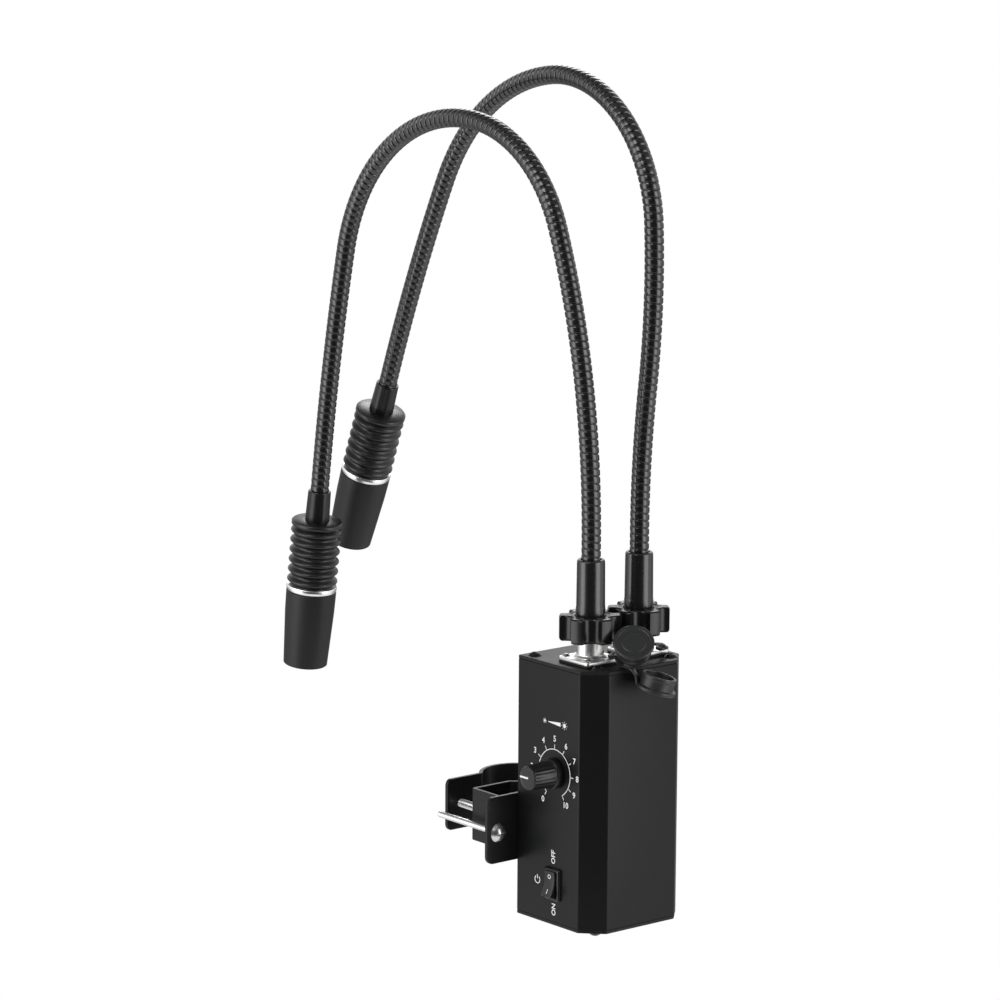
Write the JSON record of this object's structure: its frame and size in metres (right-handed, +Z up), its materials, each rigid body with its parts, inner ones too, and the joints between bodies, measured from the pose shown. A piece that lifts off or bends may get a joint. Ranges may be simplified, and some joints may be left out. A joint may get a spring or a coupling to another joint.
{
  "type": "gooseneck led illuminator",
  "caption": "Pole-clamped LED illuminator: a dark driver case with dimmer knob and rocker switch carries bendable gooseneck arms with finned spot lamps",
  "frame": {"origin": "on the axis of the vertical pole, at the middle height of the clamp jaws", "axes": "+X from the pole into the driver case, -Y the side with the dimmer knob and the switch, +Z up"},
  "size_m": [0.2692, 0.093, 0.3815],
  "materials": {
    "case_black": "matte black powder coat on aluminium",
    "clamp_black": "satin black paint on steel sheet",
    "neck_black": "glossy black coating on wound steel",
    "sleeve_black": "glossy moulded plastic",
    "nut_black": "satin moulded plastic",
    "control_black": "moulded plastic",
    "lamp_black": "black anodised, fine matte",
    "bright_ring": "polished plating",
    "socket_silver": "satin nickel plating",
    "bright_steel": "zinc plated",
    "black_steel": "black oxide",
    "cap_rubber": "matte rubber",
    "lens_clear": "clear",
    "board_green": "solder resist"
  },
  "bodies": {
    "housing": {"case_tube": "case_black", "top_plate": "case_black", "bottom_plate": "case_black", "case_screws": "black_steel", "socket_gaskets": "cap_rubber", "socket_front": "socket_silver", "socket_rear": "socket_silver", "socket_screws": "bright_steel", "socket_inserts": "control_black", "dimmer_pot": "bright_steel", "pot_nut": "bright_steel", "switch_frame": "control_black", "dc_inlet": "control_black", "inlet_pin": "bright_steel", "inlet_nut": "bright_steel", "driver_board": "board_green", "board_parts": "control_black", "board_standoffs": "bright_steel", "board_screws": "bright_steel", "clamp_plate": "clamp_black", "plate_screws": "bright_steel", "clamp_channel": "clamp_black", "clamp_bolts": "bright_steel", "bracket_screws": "bright_steel", "bracket_nuts": "bright_steel", "sleeve_front": "sleeve_black", "sleeve_rear": "sleeve_black"},
    "dimmer": {"dimmer_knob": "control_black", "pot_shaft": "bright_steel"},
    "rocker": {"switch_rocker": "control_black"},
    "coupling_front": {"nut_front": "nut_black"},
    "coupling_rear": {"nut_rear": "nut_black"},
    "jaw": {"clamp_jaw": "clamp_black"},
    "jaw_fastener_front": {"jaw_nut_front": "bright_steel"},
    "jaw_fastener_rear": {"jaw_nut_rear": "bright_steel"},
    "dust_cap_front": {"cap_front": "cap_rubber"},
    "dust_cap_rear": {"cap_rear": "cap_rubber"},
    "front_neck_1": {"neck_front_1": "neck_black"},
    "front_neck_2": {"neck_front_2": "neck_black"},
    "front_neck_3": {"neck_front_3": "neck_black"},
    "front_neck_4": {"neck_front_4": "neck_black"},
    "front_neck_5": {"neck_front_5": "neck_black"},
    "front_head": {"stub_front": "lamp_black", "sink_front": "lamp_black", "ring_front": "bright_ring", "barrel_front": "lamp_black", "lens_front": "lens_clear", "led_front": "board_green"},
    "rear_neck_1": {"neck_rear_1": "neck_black"},
    "rear_neck_2": {"neck_rear_2": "neck_black"},
    "rear_neck_3": {"neck_rear_3": "neck_black"},
    "rear_neck_4": {"neck_rear_4": "neck_black"},
    "rear_neck_5": {"neck_rear_5": "neck_black"},
    "rear_head": {"stub_rear": "lamp_black", "sink_rear": "lamp_black", "ring_rear": "bright_ring", "barrel_rear": "lamp_black", "lens_rear": "lens_clear", "led_rear": "board_green"}
  },
  "joints": [
    {"name": "dimmer_turn", "type": "hinge", "parent": "housing", "child": "dimmer", "pos_m": [0.061, -0.0293, 0.0285], "axis": [0, 1, 0], "range_deg": [-60, 240]},
    {"name": "power_rock", "type": "hinge", "parent": "housing", "child": "rocker", "pos_m": [0.061, -0.03, -0.0228], "axis": [1, 0, 0], "range_deg": [0, 22]},
    {"name": "front_coupling", "type": "hinge", "parent": "housing", "child": "coupling_front", "pos_m": [0.067, -0.0142, 0.0884], "axis": [0, 0, 1], "continuous": true},
    {"name": "rear_coupling", "type": "hinge", "parent": "housing", "child": "coupling_rear", "pos_m": [0.067, 0.0142, 0.0884], "axis": [0, 0, 1], "continuous": true},
    {"name": "jaw_slide", "type": "slide", "parent": "housing", "child": "jaw", "axis": [-1, 0, 0], "range_m": [0, 0.002]},
    {"name": "front_jaw_nut_turn", "type": "hinge", "parent": "jaw", "child": "jaw_fastener_front", "pos_m": [-0.0103, -0.0266, 0], "axis": [-1, 0, 0], "range_deg": [0, 1030]},
    {"name": "rear_jaw_nut_turn", "type": "hinge", "parent": "jaw", "child": "jaw_fastener_rear", "pos_m": [-0.0103, 0.0266, 0], "axis": [-1, 0, 0], "range_deg": [0, 1030]},
    {"name": "front_cap_swing", "type": "hinge", "parent": "housing", "child": "dust_cap_front", "pos_m": [0.0746, -0.0066, 0.0808], "axis": [0, 0, 1], "range_deg": [-25, 3]},
    {"name": "rear_cap_swing", "type": "hinge", "parent": "housing", "child": "dust_cap_rear", "pos_m": [0.0746, 0.0218, 0.0808], "axis": [0, 0, 1], "range_deg": [0, 30]},
    {"name": "front_swing", "type": "hinge", "parent": "housing", "child": "front_neck_1", "pos_m": [0.067, -0.0142, 0.1213], "axis": [0, 0, 1], "range_deg": [-2, 60]},
    {"name": "front_bend_1", "type": "hinge", "parent": "front_neck_1", "child": "front_neck_2", "pos_m": [0.06249, -0.01431, 0.19478], "axis": [0.0244, -0.9997, 0], "range_deg": [-25, 10]},
    {"name": "front_bend_2", "type": "hinge", "parent": "front_neck_2", "child": "front_neck_3", "pos_m": [0.04294, -0.01479, 0.27013], "axis": [0.0244, -0.9997, 0], "range_deg": [-25, 10]},
    {"name": "front_bend_3", "type": "hinge", "parent": "front_neck_3", "child": "front_neck_4", "pos_m": [-0.01475, -0.0162, 0.31314], "axis": [0.0244, -0.9997, 0], "range_deg": [-25, 12]},
    {"name": "front_bend_4", "type": "hinge", "parent": "front_neck_4", "child": "front_neck_5", "pos_m": [-0.10571, -0.01842, 0.24495], "axis": [0.0244, -0.9997, 0], "range_deg": [-25, 15]},
    {"name": "front_tilt", "type": "hinge", "parent": "front_neck_5", "child": "front_head", "pos_m": [-0.12512, -0.01889, 0.13072], "axis": [-0.9911, -0.0242, 0.1305], "range_deg": [-10, 25]},
    {"name": "rear_swing", "type": "hinge", "parent": "housing", "child": "rear_neck_1", "pos_m": [0.067, 0.0142, 0.1213], "axis": [0, 0, -1], "range_deg": [-2, 60]},
    {"name": "rear_bend_1", "type": "hinge", "parent": "rear_neck_1", "child": "rear_neck_2", "pos_m": [0.07148, 0.01409, 0.2008], "axis": [-0.0244, -0.9997, 0], "range_deg": [-25, 12]},
    {"name": "rear_bend_2", "type": "hinge", "parent": "rear_neck_2", "child": "rear_neck_3", "pos_m": [0.0743, 0.01402, 0.27264], "axis": [-0.0244, -0.9997, 0], "range_deg": [-25, 12]},
    {"name": "rear_bend_3", "type": "hinge", "parent": "rear_neck_3", "child": "rear_neck_4", "pos_m": [0.00172, 0.0158, 0.33303], "axis": [-0.0244, -0.9997, 0], "range_deg": [-25, 15]},
    {"name": "rear_bend_4", "type": "hinge", "parent": "rear_neck_4", "child": "rear_neck_5", "pos_m": [-0.0768, 0.01771, 0.27762], "axis": [-0.0244, -0.9997, 0], "range_deg": [-25, 15]},
    {"name": "rear_tilt", "type": "hinge", "parent": "rear_neck_5", "child": "rear_head", "pos_m": [-0.12022, 0.01878, 0.1788], "axis": [0.9333, -0.0228, -0.3584], "range_deg": [-10, 25]}
  ],
  "couplings": [
    {"joint": "front_jaw_nut_turn", "follows": "jaw_slide", "rad_per_m": 8976},
    {"joint": "rear_jaw_nut_turn", "follows": "jaw_slide", "rad_per_m": 8976}
  ]
}
